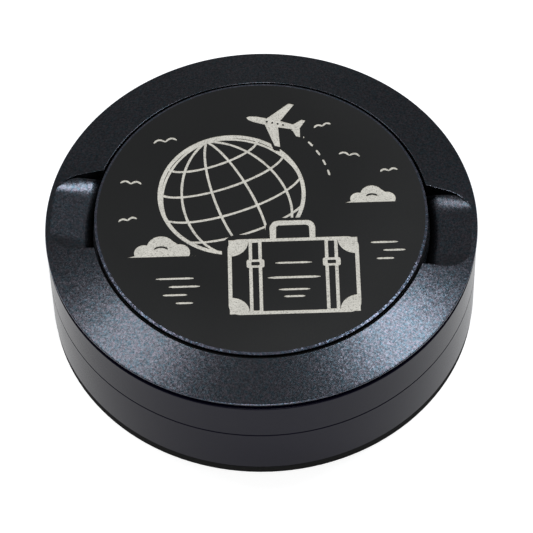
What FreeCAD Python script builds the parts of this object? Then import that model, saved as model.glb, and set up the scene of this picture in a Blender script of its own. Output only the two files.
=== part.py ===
import FreeCAD, Part
import math
import os
from types import SimpleNamespace

import Sketcher
from FreeCAD import Placement, Rotation, Vector

# A round Bluetooth tracker tag, in millimetres. The origin is the centre of the foot,
# +Z is up through the cover, and +X runs through the two finger scoops.

os.makedirs("parts", exist_ok=True)
doc = FreeCAD.newDocument("TrackerTag")

# ---------------------------------------------------------------- driving dimensions

SIZES = {
    # outside of the case: radii, and heights above the surface that it stands on
    "shell_radius": 20.95,
    "shell_chamfer": 0.18,
    "seam_height": 6.7,
    "seam_chamfer": 0.1,
    "shoulder_height": 11.3,
    "neck_radius": 20.2,
    "neck_top": 11.62,
    "ring_underside": 11.85,
    "ring_radius": 21.0,
    "ring_brim": 12.14,
    "ring_crown": 13.25,
    "ring_bore": 16.4,
    "ring_brim_round": 0.08,
    "ring_brim_undercut": 0.2,
    "ring_edge_round": 0.12,
    # foot ring, which also closes the bottom edge of the case
    "foot_radius": 20.88,
    "foot_bore": 13.5,
    "foot_top": 0.9,
    # walls and floor of the lower shell
    "floor_top": 1.9,
    "membrane_radius": 10.5,
    "membrane_top": 1.4,
    "lower_bore": 18.95,
    "ledge_bore": 18.2,
    "rebate_floor": 5.5,
    "rebate_radius": 20.1,
    # upper shell
    "tongue_bore": 19.4,
    "tongue_radius": 20.05,
    "tongue_end": 5.9,
    "flange_low": 8.9,
    "flange_high": 9.6,
    "flange_bore": 16.2,
    "spigot_bore": 18.85,
    # spigot of the bezel ring
    "spigot_radius": 18.8,
    "ring_shelf": 10.9,
    "ring_throat": 15.6,
    # finger scoops
    "scoop_half_width": 4.7,
    "scoop_end_half_width": 4.1,
    "scoop_start": 15.4,
    "scoop_reach": 20.65,
    "scoop_corner": 2.6,
    "scoop_depth_height": 11.42,
    "scoop_slope": 11.5,
    "scoop_trough_half": 5.3,
    "scoop_trough_round": 2.2,
    "scoop_trough_wall": 3.83,
    "scoop_trough_run": 16.5,
    "scoop_lip_round": 0.1,
    # screws
    "screw_circle": 17.35,
    "screw_head_radius": 1.4,
    "screw_head_low": 1.0,
    "screw_head_high": 1.8,
    "screw_shank_radius": 0.8,
    "screw_tip": 10.5,
    "screw_play": 0.1,
    "screw_bite": 0.02,
    "screw_hole_end": 10.7,
    "drive_length": 1.6,
    "drive_width": 0.35,
    "boss_radius": 1.8,
    # circuit board
    "board_low": 3.2,
    "board_high": 4.0,
    "board_radius": 18.8,
    "board_notch": 2.05,
    # battery tray and thread collar
    "tray_bore": 14.2,
    "tray_radius": 15.2,
    "tray_floor": 4.5,
    "tray_window": 9.5,
    "tray_slot_half": 3.6,
    "tray_top": 8.2,
    "collar_top": 11.6,
    "collar_radius": 15.5,
    "collar_flange_radius": 16.1,
    "collar_flange_low": 9.0,
    "thread_bore": 13.5,
    "seal_land_radius": 14.4,
    "seal_land_low": 10.2,
    # quick thread: four starts
    "thread_lead": 8.0,
    "thread_low": 8.8,
    "thread_width": 0.6,
    "thread_radius": 13.95,
    "thread_rise": 0.8,
    "thread_root": 0.2,
    "thread_slant": 0.12,
    "groove_play": 0.1,
    "groove_rise": 1.9,
    "groove_lead_in": 4.0,
    # cover
    "cover_radius": 16.15,
    "cover_underside": 11.8,
    "cover_top": 12.8,
    "rim_bore": 15.75,
    "rim_low": 11.3,
    "skirt_bore": 12.35,
    "skirt_radius": 13.4,
    "skirt_low": 5.25,
    "claw_bore": 11.95,
    "claw_top": 5.65,
    "claw_slit": 1.2,
    "claw_slit_low": 4.75,
    "claw_slit_top": 8.2,
    "gland_radius": 14.1,
    "gland_floor": 13.45,
    "gland_low": 10.3,
    "gland_wall": 0.32,
    "gland_roof": 11.58,
    "seal_ring_radius": 13.92,
    "seal_cord_radius": 0.45,
    "seal_height": 11.1,
    "plate_low": 12.9,
    "plate_top": 13.4,
    "plate_chamfer": 0.22,
    "glue_radius": 15.6,
    "pad_radius": 9.0,
    "pad_low": 10.7,
    # coin cell
    "cell_radius": 12.25,
    "cell_low": 5.6,
    "cell_crimp": 5.75,
    "cell_top": 10.6,
    "cell_wall": 0.3,
    "cell_round": 0.45,
    "cell_cap_radius": 9.8,
    "cell_gap_radius": 10.2,
    # buzzer
    "piezo_radius": 10.0,
    "piezo_glue_bore": 8.6,
    "piezo_low": 1.5,
    "piezo_high": 1.7,
    "ceramic_radius": 7.0,
    "ceramic_high": 1.95,
    "pin_tip_radius": 0.35,
    "pin_barrel_radius": 0.6,
    "pin_tip_length": 0.4,
    # pairing switch
    "switch_y": 6.0,
    "switch_length": 3.0,
    "switch_width": 2.6,
    "switch_high": 4.7,
    "plunger_radius": 0.7,
    "plunger_play": 0.05,
    "plunger_low": 4.45,
    "plunger_high": 5.0,
    "plunger_well": 4.2,
    # contact springs
    "spring_gauge": 0.15,
    "contact_gap": 0.02,
    "plus_contact_y": 11.0,
    "plus_contact_width": 1.0,
    "minus_contact_width": 3.0,
}


class Size:
    """A length in the sheet's terms: its value, and the expression that gives it."""

    def __init__(self, value, text):
        self.value = value
        self.text = text

    def join(self, sign, other, value):
        return Size(value, "({} {} {})".format(self.text, sign, words(other)))

    def __add__(self, other):
        return self.join("+", other, self.value + plain(other))

    def __sub__(self, other):
        return self.join("-", other, self.value - plain(other))

    def __mul__(self, other):
        return self.join("*", other, self.value * plain(other))

    def __truediv__(self, other):
        return self.join("/", other, self.value / plain(other))

    def __neg__(self):
        return Size(-self.value, "(0 - {})".format(self.text))


def plain(value):
    """The number behind a size, or the number itself."""
    return value.value if isinstance(value, Size) else float(value)


def words(value):
    """The sheet expression behind a size, or the number as text."""
    return value.text if isinstance(value, Size) else repr(float(value))


def write_sheet():
    """Put the driving dimensions in the sheet and return them as sizes."""
    sheet = doc.addObject("Spreadsheet::Sheet", "Sizes")
    for row, (alias, value) in enumerate(SIZES.items(), start=1):
        sheet.set("A{}".format(row), alias)
        sheet.set("B{}".format(row), str(value))
        sheet.setAlias("B{}".format(row), alias)
    doc.recompute()
    return SimpleNamespace(**{a: Size(v, "Sizes." + a) for a, v in SIZES.items()})


d = write_sheet()
ORIGIN = Size(0.0, "0")

# ---------------------------------------------------------------- helpers

X_AXIS = -1
Y_AXIS = -2
FULL_TURN = 360
SAME = 1e-4


def bind(item, **sizes):
    """Bind properties of an object to sheet expressions."""
    for name, value in sizes.items():
        setattr(item, name, plain(value))
        if isinstance(value, Size):
            item.setExpression(name, value.text)


def move(item, x=0, y=0, z=0, turn=0):
    """Place an object, with its position bound to the sheet."""
    item.Placement = Placement(Vector(plain(x), plain(y), plain(z)), Rotation(Vector(0, 0, 1), turn))
    for axis, value in (("x", x), ("y", y), ("z", z)):
        if isinstance(value, Size):
            item.setExpression("Placement.Base." + axis, value.text)
    return item


def new_body(label):
    body = doc.addObject("PartDesign::Body", label)
    body.Label = label
    return body


def new_sketch(body, name, plane="XZ_Plane"):
    sketch = body.newObject("Sketcher::SketchObject", name)
    origin = next(f for f in body.Origin.OriginFeatures if f.Role == plane)
    sketch.AttachmentSupport = (origin, [""])
    sketch.MapMode = "FlatFace"
    return sketch


def pin(sketch, geometry, place, x, y):
    """Hold one point of a sketch at (x, y)."""
    for kind, axis, value in (("DistanceX", Y_AXIS, x), ("DistanceY", X_AXIS, y)):
        if plain(value) == 0:
            sketch.addConstraint(Sketcher.Constraint("PointOnObject", geometry, place, axis))
            continue
        number = sketch.addConstraint(
            Sketcher.Constraint(kind, -1, 1, geometry, place, plain(value))
        )
        if isinstance(value, Size):
            sketch.setExpression("Constraints[{}]".format(number), value.text)


def polygon(sketch, points):
    """Draw a closed outline through points given as pairs of sizes."""
    first = sketch.GeometryCount
    count = len(points)
    corners = [Vector(plain(x), plain(y), 0) for x, y in points]
    for i in range(count):
        sketch.addGeometry(Part.LineSegment(corners[i], corners[(i + 1) % count]), False)
    for i in range(count):
        ends = (first + i, 2, first + (i + 1) % count, 1)
        sketch.addConstraint(Sketcher.Constraint("Coincident", *ends))
    for i, (x, y) in enumerate(points):
        pin(sketch, first + i, 1, x, y)


def circle(sketch, x, y, radius):
    """Draw a circle with its centre at (x, y)."""
    ring = Part.Circle(Vector(plain(x), plain(y), 0), Vector(0, 0, 1), plain(radius))
    number = sketch.addGeometry(ring, False)
    pin(sketch, number, 3, x, y)
    held = sketch.addConstraint(Sketcher.Constraint("Radius", number, plain(radius)))
    if isinstance(radius, Size):
        sketch.setExpression("Constraints[{}]".format(held), radius.text)


def screw_spots(sketch, radius):
    """Draw a circle at each of the four case screws, on the diagonals."""
    offset = d.screw_circle * math.sqrt(0.5)
    for x, y in ((offset, offset), (-offset, offset), (-offset, -offset), (offset, -offset)):
        circle(sketch, x, y, radius)


def add_feature(body, kind, name, profile, **settings):
    """Add a sketch-based feature and make it the body's tip."""
    feature = body.newObject("PartDesign::" + kind, name)
    feature.Profile = (profile, [""])
    for key, value in settings.items():
        if isinstance(value, Size):
            bind(feature, **{key: value})
        else:
            setattr(feature, key, value)
    body.Tip = feature
    return feature


def turned(label, points):
    """A body turned about +Z from a half section of (radius, height) points."""
    body = new_body(label)
    section = new_sketch(body, label + "_section")
    polygon(section, points)
    add_feature(
        body, "Revolution", label + "_turning", section,
        ReferenceAxis=(section, ["V_Axis"]), Angle=FULL_TURN,
    )
    return body


def ring(label, inner, outer, low, high):
    """A plain turned ring, or a disc where the inner radius is 0."""
    return turned(label, [(inner, low), (outer, low), (outer, high), (inner, high)])


def raised(body, name, radius, low, high):
    """Pad four bosses at the case screws, from one height to another."""
    sketch = new_sketch(body, name + "_outline", "XY_Plane")
    offset_sketch(sketch, low)
    screw_spots(sketch, radius)
    add_feature(body, "Pad", name, sketch, Length=high - low)


def offset_sketch(sketch, height):
    """Lift a sketch on the XY plane to a height."""
    sketch.AttachmentOffset = Placement(Vector(0, 0, plain(height)), Rotation())
    sketch.setExpression("AttachmentOffset.Base.z", words(height))


def drilled(body, name, radius, low, high):
    """Cut four holes at the case screws, from one height up to another."""
    doc.recompute()
    before = body.Shape.Volume
    sketch = new_sketch(body, name + "_outline", "XY_Plane")
    offset_sketch(sketch, low)
    screw_spots(sketch, radius)
    add_feature(body, "Pocket", name, sketch, Length=high - low, Reversed=True)
    doc.recompute()
    check_cut(body, before)


def check_cut(body, before):
    """Stop if a cut took nothing away."""
    if body.Shape.Volume >= before:
        raise RuntimeError("{} lost no material".format(body.Label))


def edges_where(shape, test):
    """Names of the edges that pass a test."""
    return ["Edge{}".format(i) for i, e in enumerate(shape.Edges, start=1) if test(e)]


def is_rim(edge, radius, height):
    """True for a circle about +Z of this radius at this height."""
    curve = edge.Curve
    if not isinstance(curve, Part.Circle):
        return False
    same_radius = abs(curve.Radius - plain(radius)) < SAME
    return same_radius and abs(curve.Center.z - plain(height)) < SAME


def dress(body, kind, name, radius, height, amount):
    """Fillet or chamfer one turned rim of a body."""
    doc.recompute()
    rims = edges_where(body.Shape, lambda e: is_rim(e, radius, height))
    if not rims:
        raise RuntimeError("{} has no rim for {}".format(body.Label, name))
    dress_edges(body, kind, name, rims, amount)


def dress_edges(body, kind, name, edges, amount):
    """Fillet or chamfer named edges of a body."""
    base = body.Tip
    feature = body.newObject("PartDesign::" + kind, name)
    feature.Base = (base, edges)
    bind(feature, **{"Radius" if kind == "Fillet" else "Size": amount})
    body.Tip = feature
    doc.recompute()


def block(label, length, width, height, x, y, low, turn=0):
    """A box centred on (x, y), standing on a height; a turn is about its own centre."""
    box = doc.addObject("Part::Box", label)
    box.Label = label
    bind(box, Length=length, Width=width, Height=height)
    half = Vector(plain(length) / 2, plain(width) / 2, 0)
    turning = Rotation(Vector(0, 0, 1), turn)
    corner = Vector(plain(x), plain(y), 0) - turning.multVec(half)
    box.Placement = Placement(Vector(corner.x, corner.y, plain(low)), turning)
    if isinstance(low, Size):
        box.setExpression("Placement.Base.z", low.text)
    return box


def cylinder(label, radius, low, high, x=0, y=0):
    """An upright cylinder between two heights."""
    rod = doc.addObject("Part::Cylinder", label)
    rod.Label = label
    bind(rod, Radius=radius, Height=high - low)
    return move(rod, x, y, low)


def joined(label, pieces):
    fuse = doc.addObject("Part::MultiFuse", label)
    fuse.Label = label
    fuse.Shapes = pieces
    return fuse


def grouped(label, pieces):
    group = doc.addObject("Part::Compound", label)
    group.Label = label
    group.Links = pieces
    return group


def cut(label, base, tool):
    result = doc.addObject("Part::Cut", label)
    result.Label = label
    result.Base = base
    result.Tool = tool
    return result


# ---------------------------------------------------------------- case


def make_foot_ring():
    """Rubber ring bonded flat under the case: the whole tag stands on it."""
    return ring("foot_ring", d.foot_bore, d.foot_radius, ORIGIN, d.foot_top)


def make_lower_shell():
    """Cup with a thin sounding floor, a ledge for the board and a rebate for the seal."""
    body = turned("lower_shell", [
        (0, d.foot_top),
        (d.shell_radius, d.foot_top),
        (d.shell_radius, d.seam_height),
        (d.rebate_radius, d.seam_height),
        (d.rebate_radius, d.rebate_floor),
        (d.lower_bore, d.rebate_floor),
        (d.lower_bore, d.board_low),
        (d.ledge_bore, d.board_low),
        (d.ledge_bore, d.floor_top),
        (d.membrane_radius, d.floor_top),
        (d.membrane_radius, d.membrane_top),
        (0, d.membrane_top),
    ])
    dress(body, "Chamfer", "foot_bevel", d.shell_radius, d.foot_top, d.shell_chamfer)
    dress(body, "Chamfer", "lower_seam", d.shell_radius, d.seam_height, d.seam_chamfer)
    raised(body, "screw_bosses", d.boss_radius, d.foot_top, d.flange_low)
    drilled(body, "head_wells", d.screw_head_radius + d.screw_play, d.foot_top, d.screw_head_high)
    drilled(body, "shank_holes", d.screw_shank_radius + d.screw_play, d.foot_top, d.flange_low)
    return body


def make_shell_seal():
    return ring("shell_seal", d.tongue_bore, d.tongue_radius, d.rebate_floor, d.tongue_end)


def make_upper_shell():
    """Ring wall with a tongue below, a clamped inner flange and a neck under the bezel."""
    body = turned("upper_shell", [
        (d.tongue_bore, d.tongue_end),
        (d.tongue_radius, d.tongue_end),
        (d.tongue_radius, d.seam_height),
        (d.shell_radius, d.seam_height),
        (d.shell_radius, d.shoulder_height),
        (d.neck_radius, d.shoulder_height),
        (d.neck_radius, d.neck_top),
        (d.spigot_bore, d.neck_top),
        (d.spigot_bore, d.flange_high),
        (d.flange_bore, d.flange_high),
        (d.flange_bore, d.flange_low),
        (d.tongue_bore, d.flange_low),
    ])
    dress(body, "Chamfer", "upper_seam", d.shell_radius, d.seam_height, d.seam_chamfer)
    dress(body, "Fillet", "shoulder_round", d.shell_radius, d.shoulder_height, d.ring_edge_round)
    clear = d.screw_shank_radius + d.screw_play
    drilled(body, "flange_holes", clear, d.flange_low, d.flange_high)
    return body


def scoop_tool(label, turn):
    """What one fingertip takes out of the ring: a plan outline met by a sloping trough."""
    plan = new_body(label + "_plan")
    outline = new_sketch(plan, label + "_outline", "XY_Plane")
    offset_sketch(outline, d.ring_shelf)
    polygon(outline, [
        (d.scoop_start, -d.scoop_half_width),
        (d.scoop_reach, -d.scoop_end_half_width),
        (d.scoop_reach, d.scoop_end_half_width),
        (d.scoop_start, d.scoop_half_width),
    ])
    add_feature(plan, "Pad", label + "_pad", outline, Length=d.scoop_trough_wall)
    doc.recompute()
    far = edges_where(plan.Shape, lambda e: is_upright_at(e, d.scoop_reach))
    dress_edges(plan, "Fillet", label + "_corners", far, d.scoop_corner)

    trough = new_body(label + "_trough")
    section = new_sketch(trough, label + "_section", "YZ_Plane")
    polygon(section, [
        (-d.scoop_trough_half, 0),
        (d.scoop_trough_half, 0),
        (d.scoop_trough_half, d.scoop_trough_wall),
        (-d.scoop_trough_half, d.scoop_trough_wall),
    ])
    add_feature(trough, "Pad", label + "_run", section, Length=d.scoop_trough_run, Midplane=True)
    doc.recompute()
    keel = edges_where(trough.Shape, is_low_side)
    dress_edges(trough, "Fillet", label + "_rounds", keel, d.scoop_trough_round)
    trough.Placement = Placement(
        Vector(plain(d.ring_bore), 0, plain(d.scoop_depth_height)),
        Rotation(Vector(0, 1, 0), -plain(d.scoop_slope)),
    )
    trough.setExpression("Placement.Base.x", d.ring_bore.text)
    trough.setExpression("Placement.Base.z", d.scoop_depth_height.text)

    tool = doc.addObject("Part::Common", label)
    tool.Label = label
    tool.Base = plan
    tool.Tool = trough
    tool.Placement = Placement(Vector(0, 0, 0), Rotation(Vector(0, 0, 1), turn))
    return tool


def is_upright_at(edge, x):
    """True for an upright edge at this x."""
    start, end = edge.Vertexes[0].Point, edge.Vertexes[-1].Point
    at_x = all(abs(point.x - plain(x)) < SAME for point in (start, end))
    return at_x and abs(start.z - end.z) > 1


def is_low_side(edge):
    """True for an edge that runs along X at height 0."""
    start, end = edge.Vertexes[0].Point, edge.Vertexes[-1].Point
    at_base = all(abs(point.z) < SAME for point in (start, end))
    return at_base and abs(start.x - end.x) > 1


def make_bezel_ring():
    """Conical ring with a spigot, a shelf under the cover's rim and two finger scoops."""
    blank = turned("bezel_blank", [
        (d.ring_throat, d.flange_high),
        (d.spigot_radius, d.flange_high),
        (d.spigot_radius, d.neck_top),
        (d.neck_radius, d.neck_top),
        (d.neck_radius, d.ring_underside),
        (d.ring_radius, d.ring_underside),
        (d.ring_radius, d.ring_brim),
        (d.ring_bore, d.ring_crown),
        (d.ring_bore, d.ring_shelf),
        (d.ring_throat, d.ring_shelf),
    ])
    dress(blank, "Fillet", "brim_round", d.ring_radius, d.ring_brim, d.ring_brim_round)
    dress(blank, "Chamfer", "brim_undercut", d.ring_radius, d.ring_underside, d.ring_brim_undercut)
    dress(blank, "Fillet", "bore_edge", d.ring_bore, d.ring_crown, d.ring_edge_round)
    tapped = d.screw_shank_radius + d.screw_bite
    drilled(blank, "tapped_holes", tapped, d.flange_high, d.screw_hole_end)
    move(blank, turn=90)
    scoops = joined("finger_scoops", [scoop_tool("scoop_right", 0), scoop_tool("scoop_left", 180)])
    scooped = cut("scooped_ring", blank, scoops)
    doc.recompute()
    soft = doc.addObject("Part::Fillet", "bezel_ring")
    soft.Label = "bezel_ring"
    soft.Base = scooped
    radius = plain(d.scoop_lip_round)
    lips = [i for i, e in enumerate(scooped.Shape.Edges, start=1) if is_scoop_lip(e)]
    soft.Edges = [(i, radius, radius) for i in lips]
    return soft


def is_scoop_lip(edge):
    """True for the edge where a scoop's floor runs out into the ring's bore."""
    middle = edge.valueAt((edge.FirstParameter + edge.LastParameter) / 2)
    start, end = edge.Vertexes[0].Point, edge.Vertexes[-1].Point
    at_bore = abs(math.hypot(middle.x, middle.y) - plain(d.ring_bore)) < 100 * SAME
    well_down = plain(d.ring_shelf) + SAME < middle.z < plain(d.ring_brim)
    runs_round = math.hypot(start.x - end.x, start.y - end.y) > plain(d.scoop_lip_round)
    return at_bore and well_down and runs_round


def make_case_screws():
    """Four pan-head screws with cross drives, from the underside up into the bezel ring."""
    offset = d.screw_circle * math.sqrt(0.5)
    screws = []
    for number, (sx, sy) in enumerate(((1, 1), (-1, 1), (-1, -1), (1, -1)), start=1):
        name = "case_screw_{}".format(number)
        place = (offset * sx, offset * sy)
        low = d.screw_head_low
        head = cylinder(name + "_head", d.screw_head_radius, low, d.screw_head_high, *place)
        shank = cylinder(name + "_shank", d.screw_shank_radius, low, d.screw_tip, *place)
        drive = [
            block(name + "_drive_x", d.drive_length, d.drive_width, d.drive_width, *place, low),
            block(name + "_drive_y", d.drive_width, d.drive_length, d.drive_width, *place, low),
        ]
        blank = joined(name + "_blank", [head, shank])
        screws.append(cut(name, blank, joined(name + "_slots", drive)))
    return grouped("case_screws", screws)


def make_thread_collar():
    """Fixed nut of the quick thread, with the cover seal's land above it."""
    body = turned("thread_collar", [
        (d.thread_bore, d.tray_top),
        (d.collar_radius, d.tray_top),
        (d.collar_radius, d.collar_flange_low),
        (d.collar_flange_radius, d.collar_flange_low),
        (d.collar_flange_radius, d.flange_high),
        (d.collar_radius, d.flange_high),
        (d.collar_radius, d.collar_top),
        (d.seal_land_radius, d.collar_top),
        (d.seal_land_radius, d.seal_land_low),
        (d.thread_bore, d.seal_land_low),
    ])
    lead_in = plain(d.groove_lead_in)
    drop = d.thread_lead * (lead_in / FULL_TURN)
    low = d.thread_low - drop
    add_helix(
        body, "thread_grooves", "SubtractiveHelix", d.thread_bore - d.thread_root,
        d.thread_radius + d.groove_play, low - d.groove_play,
        low + d.thread_width + d.groove_play, d.groove_rise, -lead_in,
    )
    return body


THREAD_STARTS = 4


def add_helix(body, name, kind, inner, outer, low, high, rise, turn):
    """Four helical threads or grooves that start at an angle and climb by a rise."""
    doc.recompute()
    before = body.Shape.Volume
    section = new_sketch(body, name + "_section")
    section.AttachmentOffset = Placement(Vector(0, 0, 0), Rotation(Vector(0, 1, 0), turn))
    crest_low, crest_high = low + d.thread_slant, high - d.thread_slant
    polygon(section, [(inner, low), (outer, crest_low), (outer, crest_high), (inner, high)])
    helix = add_feature(
        body, kind, name + "_start", section,
        ReferenceAxis=(section, ["V_Axis"]), Mode=0, LeftHanded=False, Reversed=False,
    )
    bind(helix, Pitch=d.thread_lead, Height=rise)
    doc.recompute()
    pattern = body.newObject("PartDesign::PolarPattern", name)
    pattern.Originals = [helix]
    pattern.Axis = (section, ["V_Axis"])
    pattern.Angle = FULL_TURN
    pattern.Occurrences = THREAD_STARTS
    body.Tip = pattern
    doc.recompute()
    if abs(body.Shape.Volume - before) < 1:
        raise RuntimeError("{} has no thread".format(body.Label))


def make_battery_tray():
    """Cup wall round the cell with a windowed floor on the board."""
    body = turned("battery_tray", [
        (d.tray_window, d.board_high),
        (d.tray_radius, d.board_high),
        (d.tray_radius, d.tray_top),
        (d.tray_bore, d.tray_top),
        (d.tray_bore, d.tray_floor),
        (d.tray_window, d.tray_floor),
    ])
    doc.recompute()
    before = body.Shape.Volume
    slots = new_sketch(body, "contact_slots_outline", "XY_Plane")
    offset_sketch(slots, d.board_high)
    half = d.tray_slot_half
    near = d.plus_contact_y - d.plus_contact_width
    far = d.plus_contact_y + d.plus_contact_width
    for low, high in ((near, far), (-far, -near)):
        polygon(slots, [(-half, low), (half, low), (half, high), (-half, high)])
    depth = d.tray_floor - d.board_high
    add_feature(body, "Pocket", "contact_slots", slots, Length=depth, Reversed=True)
    doc.recompute()
    check_cut(body, before)
    return body


# ---------------------------------------------------------------- electronics


def make_circuit_board():
    """Round board on the lower shell's ledge, notched for the screw bosses."""
    body = ring("circuit_board", 0, d.board_radius, d.board_low, d.board_high)
    drilled(body, "boss_notches", d.board_notch, d.board_low, d.board_high)
    return body


def make_chips():
    """Packages soldered under the board, and the antenna on top at its edge."""
    under_board = {
        # name: length, width, height, and the place of its centre on the board
        "bluetooth_chip": (5.0, 5.0, 0.85, -13.0, 2.0),
        "memory_chip": (3.0, 2.0, 0.6, -12.6, -3.6),
        "motion_sensor": (2.0, 2.0, 0.9, -12.0, -7.6),
        "main_crystal": (2.0, 1.6, 0.5, -12.6, 7.2),
        "clock_crystal": (1.6, 1.0, 0.5, -15.6, 6.6),
        "power_inductor": (2.5, 2.0, 1.0, 13.6, 3.4),
    }
    chips = []
    for name, (length, width, height, x, y) in under_board.items():
        chips.append(block(name, length, width, height, x, y, d.board_low - height))
    length, width, height, y = 5.0, 2.0, 1.1, 16.95
    chips.append(block("chip_antenna", length, width, height, 0, y, d.board_high))
    return chips


def make_chip_passives():
    """Small resistors and capacitors in two rows under the board."""
    length, width, height = 1.0, 0.5, 0.45
    pitch, first_y = 1.5, -1.2
    pieces = []
    for row, (x, count) in enumerate(((13.0, 6), (15.4, 4)), start=1):
        for i in range(count):
            name = "passive_{}_{}".format(row, i + 1)
            y = first_y - pitch * i
            pieces.append(block(name, length, width, height, x, y, d.board_low - height))
    return grouped("chip_passives", pieces)


def bent_strip(label, path, gauge, width, y):
    """A flat spring: a path of (x, z) points thickened and given a width along Y."""
    body = new_body(label)
    section = new_sketch(body, label + "_section")
    upper = [(x, z + gauge) for x, z in reversed(path)]
    polygon(section, list(path) + upper)
    add_feature(body, "Pad", label + "_width", section, Length=width, Midplane=True)
    move(body, y=y)
    return body


def make_negative_contact():
    """Spring strip soldered down at one end, with a turned-down toe under the cell's cap."""
    top = d.cell_low - d.contact_gap - d.spring_gauge
    toe_drop = 0.4
    path = [
        (-7.5, d.board_high),
        (-4.5, d.board_high),
        (0.5, top),
        (2.0, top),
        (3.2, top - toe_drop),
    ]
    return bent_strip("negative_contact", path, d.spring_gauge, d.minus_contact_width, 0)


def make_positive_contacts():
    """Two shorter strips that reach the crimped edge of the cell's can."""
    top = d.cell_crimp - d.contact_gap - d.spring_gauge
    toe_drop = 0.3
    path = [
        (-2.9, d.board_high),
        (-1.7, d.board_high),
        (1.0, top),
        (1.6, top),
        (2.3, top - toe_drop),
    ]
    strips = [
        bent_strip("plus_contact_" + side, path, d.spring_gauge, d.plus_contact_width, y)
        for side, y in (("back", d.plus_contact_y), ("front", -d.plus_contact_y))
    ]
    return grouped("positive_contacts", strips)


def make_switch():
    """Low pairing switch under the cell: a housing with a well, and its plunger."""
    height = d.switch_high - d.board_high
    base = (0, d.switch_y, d.board_high)
    shell = block("switch_box", d.switch_length, d.switch_width, height, *base)
    well = cylinder(
        "switch_well", d.plunger_radius + d.plunger_play, d.plunger_well,
        d.switch_high, ORIGIN, d.switch_y,
    )
    housing = cut("switch_housing", shell, well)
    plunger = cylinder(
        "switch_plunger", d.plunger_radius, d.plunger_low, d.plunger_high,
        ORIGIN, d.switch_y,
    )
    return [housing, plunger]


def make_buzzer():
    """Bender disc bonded to the shell's thin floor, with two sprung pins to the board."""
    gasket = ring("piezo_gasket", d.piezo_glue_bore, d.piezo_radius, d.membrane_top, d.piezo_low)
    disc = ring("piezo_disc", 0, d.piezo_radius, d.piezo_low, d.piezo_high)
    ceramic = ring("piezo_ceramic", 0, d.ceramic_radius, d.piezo_high, d.ceramic_high)
    pins = []
    for name, x, foot in (("pin_plate", 8.4, d.piezo_high), ("pin_ceramic", 4.0, d.ceramic_high)):
        shoulder = foot + d.pin_tip_length
        tip = cylinder(name + "_tip", d.pin_tip_radius, foot, d.board_low, x)
        barrel = cylinder(name + "_barrel", d.pin_barrel_radius, shoulder, d.board_low, x)
        pins.append(joined(name, [tip, barrel]))
    return [gasket, disc, ceramic, grouped("buzzer_pins", pins)]


# ---------------------------------------------------------------- coin cell


def make_cell():
    """A 24.5 mm coin cell: outer can, lower cap, the insulating ring and the core."""
    can = turned("cell_can", [
        (d.cell_gap_radius, d.cell_crimp),
        (d.cell_radius, d.cell_crimp),
        (d.cell_radius, d.cell_top),
        (0, d.cell_top),
        (0, d.cell_top - d.cell_wall),
        (d.cell_radius - d.cell_wall, d.cell_top - d.cell_wall),
        (d.cell_radius - d.cell_wall, d.cell_crimp + d.cell_wall),
        (d.cell_gap_radius, d.cell_crimp + d.cell_wall),
    ])
    dress(can, "Fillet", "can_shoulder", d.cell_radius, d.cell_top, d.cell_round)
    dress(can, "Fillet", "can_crimp", d.cell_radius, d.cell_crimp, d.cell_wall)
    cap_inner = d.cell_radius - d.cell_wall * 3
    shelf = d.cell_crimp + d.cell_wall * 2
    cap = turned("cell_cap", [
        (0, d.cell_low),
        (d.cell_cap_radius, d.cell_low),
        (d.cell_cap_radius, shelf),
        (cap_inner, shelf),
        (cap_inner, shelf + d.cell_wall),
        (d.cell_cap_radius - d.cell_wall, shelf + d.cell_wall),
        (d.cell_cap_radius - d.cell_wall, d.cell_low + d.cell_wall),
        (0, d.cell_low + d.cell_wall),
    ])
    gasket = turned("cell_gasket", [
        (d.cell_cap_radius, d.cell_crimp),
        (d.cell_gap_radius, d.cell_crimp),
        (d.cell_gap_radius, d.cell_crimp + d.cell_wall),
        (d.cell_radius - d.cell_wall, d.cell_crimp + d.cell_wall),
        (d.cell_radius - d.cell_wall, d.cell_top - d.cell_wall * 3),
        (cap_inner, d.cell_top - d.cell_wall * 3),
        (cap_inner, shelf),
        (d.cell_cap_radius, shelf),
    ])
    core = ring("cell_core", 0, cap_inner, shelf + d.cell_wall, d.cell_top - d.cell_wall)
    return [can, cap, gasket, core]


# ---------------------------------------------------------------- cover


def make_cover_cap():
    """Moulded cover: top disc, dropped rim, gland for the seal, thread and cell claws."""
    body = turned("cover_cap", [
        (0, d.cover_underside),
        (d.skirt_bore, d.cover_underside),
        (d.skirt_bore, d.claw_top),
        (d.claw_bore, d.claw_top),
        (d.claw_bore, d.skirt_low),
        (d.skirt_radius, d.skirt_low),
        (d.skirt_radius, d.gland_low),
        (d.gland_radius, d.gland_low),
        (d.gland_radius, d.gland_low + d.gland_wall),
        (d.gland_floor, d.gland_low + d.gland_wall),
        (d.gland_floor, d.gland_roof),
        (d.gland_radius, d.gland_roof),
        (d.gland_radius, d.cover_underside),
        (d.rim_bore, d.cover_underside),
        (d.rim_bore, d.rim_low),
        (d.cover_radius, d.rim_low),
        (d.cover_radius, d.cover_top),
        (0, d.cover_top),
    ])
    add_helix(
        body, "thread_lugs", "AdditiveHelix", d.skirt_radius - d.thread_root, d.thread_radius,
        d.thread_low, d.thread_low + d.thread_width, d.thread_rise, 0,
    )
    for name, plane in (("slits_x", "YZ_Plane"), ("slits_y", "XZ_Plane")):
        before = body.Shape.Volume
        slit = new_sketch(body, name + "_outline", plane)
        half = d.claw_slit / 2
        low, high = d.claw_slit_low, d.claw_slit_top
        polygon(slit, [(-half, low), (half, low), (half, high), (-half, high)])
        right_through = d.cover_radius * 2
        add_feature(body, "Pocket", name, slit, Length=right_through, Midplane=True)
        doc.recompute()
        check_cut(body, before)
    return body


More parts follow.
